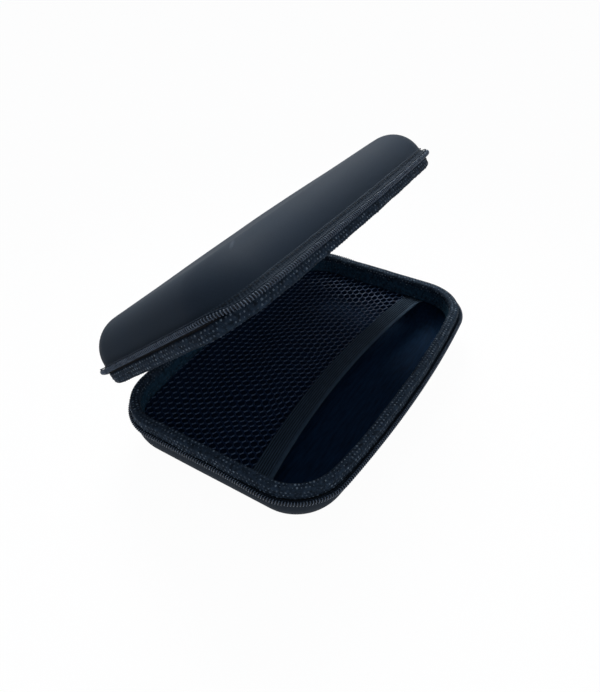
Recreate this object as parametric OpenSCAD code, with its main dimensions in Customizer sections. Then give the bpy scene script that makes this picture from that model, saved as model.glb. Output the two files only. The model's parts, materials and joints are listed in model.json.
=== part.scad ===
// Zip-round travel case with two moulded foam shells, lying open at rest.
// X runs along the hinge, -Y is the opening side, +Z is up. The origin is the centre of the
// lower shell's flat underside, on the surface that the case lies on. All sizes in millimetres.

/* [Case] */
// Length along the hinge, over the rims
case_l = 160; // [140:1:220]
// Width from the hinge side to the opening side, over the rims
case_w = 110.5; // [96:0.5:150]
// Plan radius of the rims' corners
corner_r = 23; // [21:0.5:28]
// How far the long sides bow outwards over the whole length
long_bow = 5.2; // [3:0.1:8]
// Height of the lower shell, from its underside to the top of its rim
base_h = 25.5; // [24:0.5:40]
// Height of the upper shell, from its rim to its top
lid_h = 23; // [22:0.5:30]
// Angle that the lid stands open by
lid_angle = 39; // [25:1:80]

/* [Shell layers] */
// Thickness of the outer skin
skin_t = 0.6; // [0.4:0.1:1]
// Thickness of the moulded foam
foam_t = 2.6; // [2:0.1:4]
// Thickness of the lining
lining_t = 0.5; // [0.3:0.1:0.8]
// Outer radius between the walls and the flat panel
panel_r = 15; // [10:0.5:16]
// Angle by which the walls lean in towards the panel
wall_draft = 6; // [0:1:10]

/* [Rims] */
// Thickness of the binding tape folded over each rim
binding_t = 0.6; // [0.4:0.1:1]
// How far the binding reaches down inside the rim
binding_in = 10; // [7:0.5:14]
// Outer radius of the fold over the rim
fold_r = 1.3; // [1:0.1:1.8]
// Gap between the two rims when the lid is shut
rim_gap = 0.6; // [0.4:0.1:1]

/* [Zip] */
// Height of each rim above its zip coil
lip_stand = 5.3; // [4.5:0.1:7]
// Thickness of the woven zip tape
tape_t = 0.5; // [0.4:0.1:0.7]
// Width of the tape that is sewn flat on the shell
tape_seam = 2; // [1.5:0.1:3]
// Height of the loose tape between its seam and the coil
tape_loose = 3.2; // [2.8:0.1:4]
// Radius of the coil
coil_r = 0.9; // [0.7:0.05:1]
// How far the coil's centre stands out from the rim
coil_out = 2; // [1.9:0.05:2.2]

/* [Hinge] */
// Length of the fabric spine along the rear side
spine_l = 76; // [50:1:84]
// Thickness of the spine's outer fabric
spine_t = 0.9; // [0.6:0.1:1.2]
// Thickness of the spine's lining
spine_lining_t = 0.4; // [0.3:0.1:0.6]
// How far the spine is sewn down each shell, from the coil's level
spine_seam = 7; // [5:0.5:9]
// How far the line that the lid turns about lies behind the rims
hinge_out = 5; // [5:0.1:7]

/* [Sliders] */
// Length of a slider along the zip
slider_l = 9.5; // [8:0.5:11]
// Height of a slider across the zip
slider_h = 7.4; // [7:0.1:8]
// Thickness of a slider's outer plate
plate_t = 0.8; // [0.6:0.1:0.9]
// Thickness of a slider's inner plate
inner_plate_t = 0.6; // [0.5:0.1:0.7]
// Running clearance between the coil and a slider's plates
slider_gap = 0.2; // [0.1:0.05:0.3]
// How far each slider can run, on the straight stretch beside the spine
slider_run = 9; // [4:1:9]
// Radius of the bar that a pull hangs on
bar_r = 0.5; // [0.4:0.05:0.6]
// Clearance between that bar and the pull's ring
ring_gap = 0.1; // [0.08:0.01:0.15]
// Wall of the pull's ring
ring_wall = 0.45; // [0.4:0.05:0.5]
// Length of a pull, from its bar to its tip
pull_l = 17; // [12:0.5:17]
// Width of a pull
pull_w = 5.6; // [4.5:0.1:7]
// Thickness of a pull
pull_t = 0.9; // [0.7:0.1:1]

/* [Pocket] */
// Width of the elastic band
band_w = 9.6; // [7:0.2:12]
// Thickness of the elastic band
band_t = 1; // [0.8:0.1:1.4]
// Middle of the band, measured in front of the case's centre line
band_y = 16; // [10:1:24]
// How far the band bows towards the hinge side
band_bow = 7; // [4:0.5:10]
// Thickness of the net
net_t = 0.6; // [0.5:0.1:0.8]
// Distance between the net's gaps along the case
net_pitch_x = 6.6; // [6.4:0.2:9]
// Distance between the net's rows of gaps
net_pitch_y = 5.4; // [5.2:0.2:8]
// Width of the net's strands
net_strand = 1.1; // [0.9:0.1:1.6]
// Clearance between the pocket's edge and the lining
pocket_gap = 0.1; // [0.05:0.05:0.3]

/* [Hidden] */

// Facets of the long shallow arcs, of the corners and of small round parts
fine = 720;
round_fn = 96;
small_fn = 32;
overlap = 0.01;

// The long sides' radius, and where the arcs of a quarter of the outline are centred
side_r = (pow(case_l / 2, 2) + pow(long_bow, 2)) / (2 * long_bow);
side_y = case_w / 2 - side_r;
corner_x = case_l / 2 - corner_r;
corner_y = side_y + sqrt(pow(side_r - corner_r, 2) - pow(corner_x, 2));
side_angle = asin(corner_x / (side_r - corner_r));

// Thickness of each layer's faces below the outside of the wall
foam_depth = skin_t + foam_t;
wall_depth = foam_depth + lining_t;
lip_t = 2 * binding_t + foam_t + lining_t;

// Axis that the lid turns about
hinge_y = case_w / 2 + hinge_out;
hinge_z = base_h + rim_gap / 2;

// Height of the coil above a shell's flat panel, for a shell of height h
function coil_level(h) = h - lip_stand;

// How far the wall's outside has leaned in at height z
function lean(h, z) = -(coil_level(h) - z) * tan(wall_draft);

// Centre of the fillet between wall and panel, measured outwards from the rim
function fillet_u(h) = (-panel_r + (panel_r - coil_level(h)) * sin(wall_draft)) / cos(wall_draft);

// The wall's face at depth d below its outside, measured outwards from the rim, at height z
function wall_u(h, z, d) = let (r = panel_r - d)
    z > panel_r - r * sin(wall_draft) ? lean(h, z) - d / cos(wall_draft)
    : fillet_u(h) + sqrt(pow(r, 2) - pow(panel_r - z, 2));

// That face as a line of points from height z0 to height z1, moved outwards by off
function wall_line(h, z0, z1, d, off = 0) =
    [for (i = [0:3]) let (z = z0 + i * (z1 - z0) / 3) [wall_u(h, z, d) + off, z]];

// Width of the flat ring beside the fillet, which the panel overlaps
flat_ring = 3;

// The line at depth d below a shell's outside, from the flat ring up to the coil's level
function shell_line(h, d) = concat(
    [[fillet_u(h) - flat_ring, d]],
    [for (i = [0:10]) let (a = -90 + i * (90 - wall_draft) / 10)
        [fillet_u(h) + (panel_r - d) * cos(a), panel_r + (panel_r - d) * sin(a)]],
    [[-d / cos(wall_draft), coil_level(h)]]);

function reversed(p) = [for (i = [len(p) - 1:-1:0]) p[i]];

// A quarter fold of radius r about [u, z], from angle a to angle b
function fold(u, z, r, a, b) =
    [for (i = [0:5]) let (t = a + i * (b - a) / 5) [u + r * cos(t), z + r * sin(t)]];

// Points of the plan outline, u outwards from the rim
function corner_points(s, t, u) = [for (i = [0:8]) let (a = i * (90 - side_angle) / 8)
    [s * (corner_x + (corner_r + u) * cos(a)), t * (corner_y + (corner_r + u) * sin(a))]];
function side_points(t, u) = [for (i = [-5:5]) let (a = i * side_angle / 6)
    [(side_r + u) * sin(a), t * (side_y + (side_r + u) * cos(a))]];
function outline(u) = concat(
    corner_points(1, 1, u), reversed(side_points(1, u)), reversed(corner_points(-1, 1, u)),
    corner_points(-1, -1, u), side_points(-1, u), reversed(corner_points(1, -1, u)));

// Moves a piece in steps of whole millimetres, thousandths and the rest, so that a long move stays exact
module move(v) {
    whole = [for (q = v) round(q)];
    part = [for (q = v - whole) round(q * 1000) / 1000];
    translate(whole) translate(part) translate(v - whole - part) children();
}

// A tall prism over a plan polygon, which cuts a sweep to length
reach = 60;
module cut_to(points) {
    translate([0, 0, -1]) linear_extrude(reach) polygon(points);
}

// Sweeps a section, x outwards from the rim and y up, round the plan outline. Neighbouring
// stretches are swept too long and cut at the same plane. With open > 0 the sweep leaves out
// that length in the middle of the rear side.
module round_rim(open = 0) {
    spare = 3;
    extra_angle = 8;
    far = reach * [sin(side_angle), cos(side_angle)];
    for (s = [-1, 1]) {
        x = s * corner_x;
        intersection() {
            move([s * case_l / 2, 0, 0]) mirror([s < 0 ? 1 : 0, 0, 0]) rotate([90, 0, 0])
                linear_extrude(2 * corner_y + 2 * spare, center = true) children();
            cut_to([[x, -corner_y], [x + s * reach, -corner_y], [x + s * reach, corner_y], [x, corner_y]]);
        }
        for (t = [-1, 1]) intersection() {
            y = t * corner_y;
            move([x, y, 0])
                rotate_extrude(start = (t > 0 ? 45 : 225) - s * t * 45 - extra_angle,
                    angle = 90 + 2 * extra_angle, $fn = round_fn)
                    move([corner_r, 0]) children();
            cut_to([[x, y], [x + s * reach, y], [x + s * reach, y + t * far[1]],
                [x + s * far[0], y + t * far[1]]]);
        }
    }
    for (t = [-1, 1]) intersection() {
        y = t * corner_y;
        far_x = corner_x + far[0];
        far_y = y + t * far[1];
        move([0, t * side_y, 0])
            rotate_extrude(start = t * 90 - side_angle - 1, angle = 2 * side_angle + 2, $fn = fine)
                move([side_r, 0]) children();
        if (t > 0 && open > 0)
            for (s = [-1, 1])
                cut_to([[s * open / 2, y], [s * corner_x, y], [s * far_x, far_y], [s * open / 2, far_y]]);
        else
            cut_to([[-corner_x, y], [-far_x, far_y], [far_x, far_y], [corner_x, y]]);
    }
}

// A shell's flat panel, from height z0 to z1, which laps over the flat ring
module panel(h, z0, z1) {
    translate([0, 0, z0]) linear_extrude(z1 - z0) polygon(outline(fillet_u(h) - flat_ring / 2));
}

// Smooth outer cover of a shell
module skin(h) {
    round_rim() polygon(concat(shell_line(h, 0), reversed(shell_line(h, skin_t))));
    panel(h, 0, skin_t);
}

// Moulded foam that gives a shell its form, up to the fold of its rim
module foam(h) {
    r = fold_r - binding_t;
    inner = lip_t - binding_t - lining_t;
    round_rim() polygon(concat(
        shell_line(h, skin_t),
        [[-binding_t, coil_level(h)]],
        fold(-binding_t - r, h - binding_t - r, r, 0, 90),
        [[-inner, h - binding_t], [-foam_depth, h - fold_r]],
        reversed(shell_line(h, foam_depth))));
    panel(h, skin_t, foam_depth);
}

// Lining of a shell, up to the binding's fold
module lining(h) {
    round_rim() polygon(concat(
        shell_line(h, foam_depth),
        [[-foam_depth, h - fold_r], [-wall_depth, h - fold_r]],
        reversed(shell_line(h, wall_depth))));
    panel(h, foam_depth, wall_depth);
}

// Binding tape folded over a rim: a short leg outside and a long one inside
module binding(h) {
    foot = h - binding_in;
    r = fold_r - binding_t;
    inner = lip_t - binding_t - lining_t;
    round_rim() polygon(concat(
        [[-binding_t, coil_level(h)], [0, coil_level(h)]],
        fold(-fold_r, h - fold_r, fold_r, 0, 90),
        fold(-lip_t + fold_r, h - fold_r, fold_r, 90, 180),
        wall_line(h, coil_level(h), foot, wall_depth, -binding_t),
        wall_line(h, foot, coil_level(h), wall_depth),
        [[-wall_depth, h - fold_r], [-foam_depth, h - fold_r], [-inner, h - binding_t]],
        fold(-fold_r, h - fold_r, r, 90, 0)));
}

// Zip tape sewn flat on the shell, then standing off to carry the coil
module zip_tape(h) {
    c = coil_level(h);
    seam_top = c - tape_loose;
    seam_foot = seam_top - tape_seam;
    bend = c - 1.4 * coil_r;
    round_rim(spine_l) polygon(concat(
        wall_line(h, seam_foot, seam_top, 0, tape_t),
        [[coil_out + tape_t / 2, bend], [coil_out + tape_t / 2, c],
            [coil_out - tape_t / 2, c], [coil_out - tape_t / 2, bend]],
        wall_line(h, seam_top, seam_foot, 0)));
}

// Coil half: a bead of flat sides clasped over the tape's edge
coil_sides = 14;
module zip_coil(h) {
    c = coil_level(h);
    slot = asin(tape_t / 2 / coil_r);
    round_rim(spine_l) polygon(concat(
        [for (i = [0:coil_sides]) let (a = -90 + slot + i * (360 - 2 * slot) / coil_sides)
            [coil_out + coil_r * cos(a), c + coil_r * sin(a)]],
        [[coil_out - tape_t / 2, c], [coil_out + tape_t / 2, c]]));
}

// Places a piece of the upper shell, modelled like the lower one, above it and open by lid_angle
module in_lid() {
    translate([0, hinge_y, hinge_z]) rotate([-lid_angle, 0, 0]) translate([0, -hinge_y, -hinge_z])
        translate([0, 0, base_h + rim_gap + lid_h]) mirror([0, 0, 1]) children();
}

// Rear wall's outside at x
function rear_y(x) = side_y + sqrt(pow(side_r, 2) - pow(x, 2));

// A point of the lid's rear wall at x: u outwards from the rim, z up from the lid's top panel
function on_lid(x, u, z) = let (
    y = rear_y(x) + u - hinge_y, up = base_h + rim_gap + lid_h - z - hinge_z)
    [x, hinge_y + y * cos(lid_angle) + up * sin(lid_angle),
        hinge_z - y * sin(lid_angle) + up * cos(lid_angle)];

// A point of the base's rear wall at x
function on_base(x, u, z) = [x, rear_y(x) + u, z];

// How far above the coil the spine leaves each shell
spine_leave = 1.2;
// How far the spine's fabric keeps off the lid, which it is sewn to, at rest
spine_off = 0.05;
// How far each end of the spine's fabric stops short of the zip tapes
spine_end = 0.5;
// How far the point that pulls the spine's bulge lies behind and below the hinge line
bulge_out = 1.4;
bulge_drop = 0.8;
function bulge(x) = [x, hinge_y + bulge_out - (rear_y(0) - rear_y(x)), hinge_z - bulge_drop];

function mix(a, b, t) = a * (1 - t) + b * t;
function bow_point(p, c, q, t) = mix(mix(p, c, t), mix(c, q, t), t);

// The spine's line at x, u off the shells' walls, from its seam on the base to its seam on the lid
function spine_line(x, u) = let (
    cb = coil_level(base_h), cl = coil_level(lid_h),
    p = on_base(x, u, cb + spine_leave), q = on_lid(x, u, cl + spine_leave), c = bulge(x) + [0, u, 0])
    concat(
        [for (w = wall_line(base_h, cb - spine_seam, cb, 0, u)) on_base(x, w[0], w[1])],
        [for (i = [0:8]) bow_point(p, c, q, i / 8)],
        [for (w = wall_line(lid_h, cl, cl - spine_seam, 0, u)) on_lid(x, w[0], w[1])]);

// A curved strip between two spine lines, u0 and u1 off the walls
module spine(u0, u1, length) {
    n = 12;
    xs = [for (i = [0:n]) -length / 2 + i * length / n];
    rows = [for (x = xs) concat(spine_line(x, u0), reversed(spine_line(x, u1)))];
    m = len(rows[0]);
    half = m / 2;
    polyhedron(
        points = [for (row = rows) for (p = row) p],
        faces = concat(
            [for (i = [0:n - 1]) for (j = [0:m - 1]) let (a = i * m, b = a + m, k = (j + 1) % m)
                for (f = [[a + j, a + k, b + k], [a + j, b + k, b + j]]) f],
            [for (j = [0:half - 2]) for (f = [[j, m - 1 - j, j + 1], [j + 1, m - 1 - j, m - 2 - j]]) f],
            [for (j = [0:half - 2]) let (b = n * m)
                for (f = [[b + j, b + j + 1, b + m - 1 - j], [b + j + 1, b + m - 2 - j, b + m - 1 - j]]) f]));
}

// Is plan point p inside the outline at offset u?
function inside(p, u) = let (x = abs(p[0]), y = abs(p[1]))
    x < case_l / 2 + u && norm([x, y - side_y]) < side_r + u
    && (x < corner_x || y < corner_y || norm([x - corner_x, y - corner_y]) < corner_r + u);

// The pocket hangs from the foot of the binding
pocket_z = base_h - binding_in;
pocket_u = wall_u(base_h, pocket_z - net_t, wall_depth) - pocket_gap;
band_half = case_l / 2 + pocket_u;
band_r = (pow(band_half, 2) + pow(band_bow, 2)) / (2 * band_bow);

// Distance of the band's line from its front edge's centre line, at x and offset d towards the hinge
function band_line(x, d) = -band_y - band_r + sqrt(pow(band_r + d, 2) - pow(x, 2));

// Plan of the band, d0 to d1 across it
module band_plan(d0, d1) {
    n = 24;
    intersection() {
        polygon(concat(
            [for (i = [0:n]) let (x = -case_l / 2 + i * case_l / n) [x, band_line(x, d0)]],
            [for (i = [n:-1:0]) let (x = -case_l / 2 + i * case_l / n) [x, band_line(x, d1)]]));
        polygon(outline(pocket_u - binding_t));
    }
}

// Net: a sheet with rows of six-sided gaps, its free edge under the band
module mesh_pocket() {
    rows = floor(case_w / net_pitch_y / 2);
    columns = floor(case_l / net_pitch_x / 2);
    gap_x = (net_pitch_x - net_strand) / 2;
    gap_y = net_pitch_y * 0.62 - net_strand / 2;
    edge = net_strand + gap_x;
    centres = [for (j = [-rows:rows]) for (i = [-columns:columns])
        let (p = [(i + (j % 2 == 0 ? 0 : 0.5)) * net_pitch_x, j * net_pitch_y])
        if (inside(p, pocket_u - edge) && p[1] > band_line(p[0], band_w / 2) + gap_y) p];
    color([0.10, 0.10, 0.11])
    translate([0, 0, pocket_z - net_t]) linear_extrude(net_t) difference() {
        polygon(concat(
            [for (p = outline(pocket_u)) if (p[1] > band_line(p[0], 0)) p],
            [for (i = [0:24]) let (x = -band_half + i * band_half / 12) [x, band_line(x, 0)]]));
        for (p = centres) translate(p)
            polygon([for (q = [[1, 0.45], [0, 1], [-1, 0.45], [-1, -0.45], [0, -1], [1, -0.45]])
                [q[0] * gap_x, q[1] * gap_y]]);
    }
}

// Ribbed elastic band along the net's free edge
module pocket_elastic() {
    color([0.13, 0.13, 0.14])
    translate([0, 0, pocket_z]) linear_extrude(band_t) band_plan(-band_w / 2, band_w / 2);
}

// Stitched tacks that hold the band's ends under the binding
tack_l = 1.2;
tack_t = 0.4;
tack_in = 0.8;
module elastic_tacks() {
    color([0.2, 0.2, 0.21])
    for (s = [-1, 1]) for (k = [-1, 1]) {
        x = band_half - tack_l - tack_in;
        y = band_line(x, k * band_w / 4);
        translate([s * x, y, pocket_z + band_t]) linear_extrude(tack_t)
            square([tack_l, band_w / 3], center = true);
    }
}

// Slider, drawn at the rear coil with x along the zip, y outwards from the coil and z up.
// An inner and an outer plate are joined by a post above the coil.
slider_low = 2.6;
ring_off = 0.15;
outer_face = coil_r + slider_gap + plate_t;
bar_y = outer_face + bar_r + ring_gap + ring_wall + ring_off;
slider_top = slider_h - slider_low;
bar_z = slider_top - slider_h / 2;
module slider() {
    plate_in = coil_r + slider_gap;
    inner_low = 1.2;
    post_in = 1.2;
    post_l = 2.2;
    post_h = 1.4;
    guide_in = 1.4;
    guide_h = 0.8;
    guide_y = tape_t / 2 + 0.3;
    foot_t = 0.8;
    bar_l = 5.4;
    color([0.15, 0.15, 0.16]) {
        translate([0, plate_in, 0]) rotate([-90, 0, 0])
            linear_extrude(plate_t) slider_plan(-slider_low);
        translate([0, -plate_in - inner_plate_t, 0]) rotate([-90, 0, 0])
            linear_extrude(inner_plate_t) slider_plan(-inner_low);
        translate([-slider_l / 2 + post_in, -plate_in - overlap, coil_r + slider_gap])
            cube([post_l, 2 * plate_in + 2 * overlap, post_h]);
        translate([-slider_l / 2 + guide_in, guide_y, -slider_low])
            cube([slider_l - 2 * guide_in, plate_in - guide_y + overlap, guide_h]);
        for (s = [-1, 1]) translate([s * (bar_l - foot_t) / 2, outer_face - overlap, bar_z]) {
            translate([-foot_t / 2, 0, -bar_r]) cube([foot_t, bar_y - outer_face + overlap, 2 * bar_r]);
            translate([0, bar_y - outer_face + overlap, 0]) rotate([0, 90, 0])
                cylinder(h = foot_t, r = bar_r, center = true, $fn = small_fn);
        }
        translate([0, bar_y, bar_z]) rotate([0, 90, 0])
            cylinder(h = bar_l - foot_t, r = bar_r, center = true, $fn = small_fn);
    }
}

// A slider's plate seen from behind, with rounded ends, from height low to its top
module slider_plan(low) {
    r = 1.2;
    mirror([0, 1]) {
        for (x = [-1, 1]) for (z = [low + r, slider_top - r])
            translate([x * (slider_l / 2 - r), z]) circle(r, $fn = small_fn);
        translate([-slider_l / 2 + r, low]) square([slider_l - 2 * r, slider_top - low]);
        translate([-slider_l / 2, low + r]) square([slider_l, slider_top - low - 2 * r]);
    }
}

// Pull hanging on the slider's bar, drawn like the slider
module pull() {
    neck_w = 2.6;
    neck_l = 3.2;
    eye_wall = 1.3;
    tip_r = pull_w / 2;
    ring_r = bar_r + ring_gap;
    color([0.12, 0.12, 0.13])
    difference() {
        translate([0, bar_y, bar_z]) {
            rotate([0, 90, 0]) cylinder(h = neck_w, r = ring_r + ring_wall, center = true, $fn = small_fn);
            translate([-neck_w / 2, -pull_t / 2, -neck_l - 1]) cube([neck_w, pull_t, neck_l + 1]);
            translate([0, -pull_t / 2, 0]) rotate([-90, 0, 0]) linear_extrude(pull_t) difference() {
                union() {
                    translate([-pull_w / 2, neck_l]) square([pull_w, pull_l - neck_l - tip_r]);
                    translate([0, pull_l - tip_r]) circle(tip_r, $fn = small_fn);
                }
                translate([0, pull_l - tip_r]) circle(tip_r - eye_wall, $fn = small_fn);
            }
        }
        translate([0, bar_y, bar_z]) rotate([0, 90, 0])
            cylinder(h = neck_w + 1, r = ring_r, center = true, $fn = small_fn);
    }
}

// Places a slider or a pull beside the spine, on the side s of the rear
slider_off = 0.4;
slider_place = asin((spine_l / 2 + slider_l / 2 + slider_off) / (side_r + coil_out));
module at_rear(s) {
    mirror([s < 0 ? 1 : 0, 0, 0]) translate([0, side_y, coil_level(base_h)]) rotate([0, 0, -slider_place])
        translate([0, side_r + coil_out, 0]) children();
}

module base_skin() { color([0.17, 0.18, 0.20]) skin(base_h); }
module base_foam() { color([0.22, 0.22, 0.23]) foam(base_h); }
module base_lining() { color([0.07, 0.08, 0.11]) lining(base_h); }
module base_binding() { color([0.14, 0.14, 0.15]) binding(base_h); }
module base_zip_tape() { color([0.12, 0.12, 0.13]) zip_tape(base_h); }
module base_zip_coil() { color([0.2, 0.2, 0.21]) zip_coil(base_h); }
module lid_skin() { color([0.17, 0.18, 0.20]) in_lid() skin(lid_h); }
module lid_foam() { color([0.22, 0.22, 0.23]) in_lid() foam(lid_h); }
module lid_lining() { color([0.07, 0.08, 0.11]) in_lid() lining(lid_h); }
module lid_binding() { color([0.14, 0.14, 0.15]) in_lid() binding(lid_h); }
module lid_zip_tape() { color([0.12, 0.12, 0.13]) in_lid() zip_tape(lid_h); }
module lid_zip_coil() { color([0.2, 0.2, 0.21]) in_lid() zip_coil(lid_h); }
module hinge_strip() {
    inner = spine_off + spine_lining_t;
    color([0.13, 0.14, 0.15]) spine(inner, inner + spine_t, spine_l - 2 * spine_end);
}
module hinge_lining() {
    color([0.10, 0.10, 0.12]) spine(spine_off, spine_off + spine_lining_t, spine_l - 2 * spine_end);
}
module slider_left() { at_rear(-1) slider(); }
module slider_right() { at_rear(1) slider(); }
module pull_left() { at_rear(-1) pull(); }
module pull_right() { at_rear(1) pull(); }

base_skin();
base_foam();
base_lining();
base_binding();
base_zip_tape();
base_zip_coil();
mesh_pocket();
pocket_elastic();
elastic_tacks();
lid_skin();
lid_foam();
lid_lining();
lid_binding();
lid_zip_tape();
lid_zip_coil();
hinge_strip();
hinge_lining();
slider_left();
slider_right();
pull_left();
pull_right();
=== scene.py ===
import json
import math

import bmesh
import bpy
import numpy as np
from mathutils import Matrix, Vector, noise
from mathutils.bvhtree import BVHTree


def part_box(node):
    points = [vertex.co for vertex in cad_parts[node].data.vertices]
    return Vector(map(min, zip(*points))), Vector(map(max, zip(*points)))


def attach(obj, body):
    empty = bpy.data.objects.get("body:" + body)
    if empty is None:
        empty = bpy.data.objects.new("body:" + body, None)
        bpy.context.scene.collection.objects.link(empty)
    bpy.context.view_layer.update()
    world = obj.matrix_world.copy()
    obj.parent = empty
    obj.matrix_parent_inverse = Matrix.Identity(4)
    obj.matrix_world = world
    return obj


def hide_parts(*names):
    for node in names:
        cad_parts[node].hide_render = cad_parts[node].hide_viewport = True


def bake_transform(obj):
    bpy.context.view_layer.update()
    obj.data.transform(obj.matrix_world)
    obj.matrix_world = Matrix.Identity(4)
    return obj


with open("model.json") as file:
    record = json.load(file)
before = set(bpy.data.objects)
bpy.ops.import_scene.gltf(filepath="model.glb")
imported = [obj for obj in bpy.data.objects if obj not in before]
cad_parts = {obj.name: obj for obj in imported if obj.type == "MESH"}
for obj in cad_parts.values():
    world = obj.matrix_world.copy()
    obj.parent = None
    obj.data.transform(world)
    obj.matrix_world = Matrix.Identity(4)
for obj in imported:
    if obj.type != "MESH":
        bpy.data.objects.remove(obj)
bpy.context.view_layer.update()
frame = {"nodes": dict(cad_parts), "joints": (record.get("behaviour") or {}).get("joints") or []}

# Camera: looks down on the opening corner from the front left, placed by matching the rims,
# the zip lines and the outlines of both shells. Angles are in degrees and places in metres.
PHOTO_W, PHOTO_H = 600, 692
SENSOR = 36.0
FOCAL_PX = 603.3
EYE = Vector((-0.19189, -0.12006, 0.20612))
YAW, PITCH, ROLL = -56.99, 38.82, -1.33


def look_axes():
    """The camera's right, up and backward directions."""
    a, e, r = (math.radians(v) for v in (YAW, PITCH, ROLL))
    back = Vector((math.sin(a) * math.cos(e), -math.cos(a) * math.cos(e), math.sin(e)))
    right = Vector((0, 0, 1)).cross(back).normalized()
    up = back.cross(right)
    return right * math.cos(r) + up * math.sin(r), up * math.cos(r) - right * math.sin(r), back


scene = bpy.context.scene
camera = bpy.data.objects.new("camera", bpy.data.cameras.new("camera"))
scene.collection.objects.link(camera)
camera.data.sensor_width = SENSOR
camera.data.lens = FOCAL_PX * SENSOR / PHOTO_H
camera.data.clip_start, camera.data.clip_end = 0.01, 20
axes = look_axes()
camera.matrix_world = Matrix.LocRotScale(EYE, Matrix(axes).transposed().to_quaternion(), None)
scene.camera = camera

# Room: a table painted matt white and a plain surround that both show as white, and three soft
# lamps: a small one with a narrow beam from behind, aimed at the lid's middle, a large one above
# and one in front.
MM = 0.001


def linear(hex_colour):
    """An sRGB hex colour as linear red, green, blue and alpha."""
    parts = [int(hex_colour[i:i + 2], 16) / 255 for i in (1, 3, 5)]
    return [c / 12.92 if c <= 0.04045 else ((c + 0.055) / 1.055) ** 2.4 for c in parts] + [1.0]


def node(tree, kind, inputs=None, **settings):
    """Adds a node. An input is set to a value, or linked to a socket or a node's first output."""
    made = tree.nodes.new(kind)
    for name, value in settings.items():
        setattr(made, name, value)
    for name, value in (inputs or {}).items():
        if isinstance(value, bpy.types.Node):
            value = value.outputs[0]
        if isinstance(value, bpy.types.NodeSocket):
            tree.links.new(value, made.inputs[name])
        else:
            made.inputs[name].default_value = value
    return made


def blank_material(name):
    """A new material and its empty node tree."""
    made = bpy.data.materials.new(name)
    made.use_nodes = True
    made.node_tree.nodes.clear()
    return made, made.node_tree


def surfaced(tree, colour, roughness, specular, relief=None, strength=0.0, depth=0.0):
    """Ends a material: its colour, roughness and shine, and how deep its pattern stands in relief."""
    inputs = {"Base Color": colour, "Roughness": roughness, "Specular IOR Level": specular}
    if relief is not None:
        inputs["Normal"] = node(tree, "ShaderNodeBump", {
            "Height": relief, "Strength": strength, "Distance": depth})
    paint = node(tree, "ShaderNodeBsdfPrincipled", inputs)
    node(tree, "ShaderNodeOutputMaterial", {"Surface": paint})


scene.view_settings.view_transform = "Standard"
world = bpy.data.worlds.new("studio")
scene.world = world
world.use_nodes = True
tree = world.node_tree
tree.nodes.clear()
SURROUND_LIGHT = 0.34


def seen_ray(tree):
    """1 on the rays that show the background itself: straight, mirrored or through glass."""
    path = node(tree, "ShaderNodeLightPath")
    mirrored = node(tree, "ShaderNodeMath", {
        0: path.outputs["Is Glossy Ray"], 1: path.outputs["Is Transmission Ray"]}, operation="MAXIMUM")
    return node(tree, "ShaderNodeMath", {0: path.outputs["Is Camera Ray"], 1: mirrored},
                operation="MAXIMUM").outputs[0]


lit = node(tree, "ShaderNodeBackground", {"Color": linear("#cfe0ff"), "Strength": SURROUND_LIGHT})
seen = node(tree, "ShaderNodeBackground", {"Color": (1, 1, 1, 1), "Strength": 1.0})
both = node(tree, "ShaderNodeMixShader", {0: seen_ray(tree), 1: lit, 2: seen})
node(tree, "ShaderNodeOutputWorld", {"Surface": both})

FLOOR_SHOWN, FLOOR_REACH = 0.97, 3.0
floor_corners = [(x * FLOOR_REACH, y * FLOOR_REACH, 0) for x, y in ((-1, -1), (1, -1), (1, 1), (-1, 1))]
floor_mesh = bpy.data.meshes.new("floor")
floor_mesh.from_pydata(floor_corners, [], [(0, 1, 2, 3)])
floor = bpy.data.objects.new("floor", floor_mesh)
scene.collection.objects.link(floor)
floor_paint, tree = blank_material("painted_table")
share = node(tree, "ShaderNodeMath", {0: seen_ray(tree), 1: FLOOR_SHOWN}, operation="MULTIPLY")
matt = node(tree, "ShaderNodeBsdfDiffuse", {"Color": linear("#f2f2f2")})
glow = node(tree, "ShaderNodeEmission", {"Color": (1, 1, 1, 1), "Strength": 1.0})
both = node(tree, "ShaderNodeMixShader", {0: share, 1: matt, 2: glow})
node(tree, "ShaderNodeOutputMaterial", {"Surface": both})
floor_mesh.materials.append(floor_paint)

# Each lamp's place, the point that it faces, its width, its beam in degrees and its power
for name, place, aim, size, spread, power in (
        ("lamp_behind", (0.23, 0.21, 0.45), (0.01, 0.0, 0.09), 0.3, 54, 0.36),
        ("lamp_above", (0.1, 0.3, 1.7), (0, 0, 0), 1.6, 180, 7.5),
        ("lamp_front", (-0.4, -1.3, 0.9), (0, 0, 0), 1.2, 180, 3.0)):
    lamp = bpy.data.lights.new(name, "AREA")
    lamp.shape, lamp.size, lamp.energy = "DISK", size, power
    lamp.spread = math.radians(spread)
    holder = bpy.data.objects.new(name, lamp)
    scene.collection.objects.link(holder)
    holder.location = place
    holder.rotation_mode = "QUATERNION"
    holder.rotation_quaternion = (Vector(place) - Vector(aim)).to_track_quat("Z", "Y")

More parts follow.
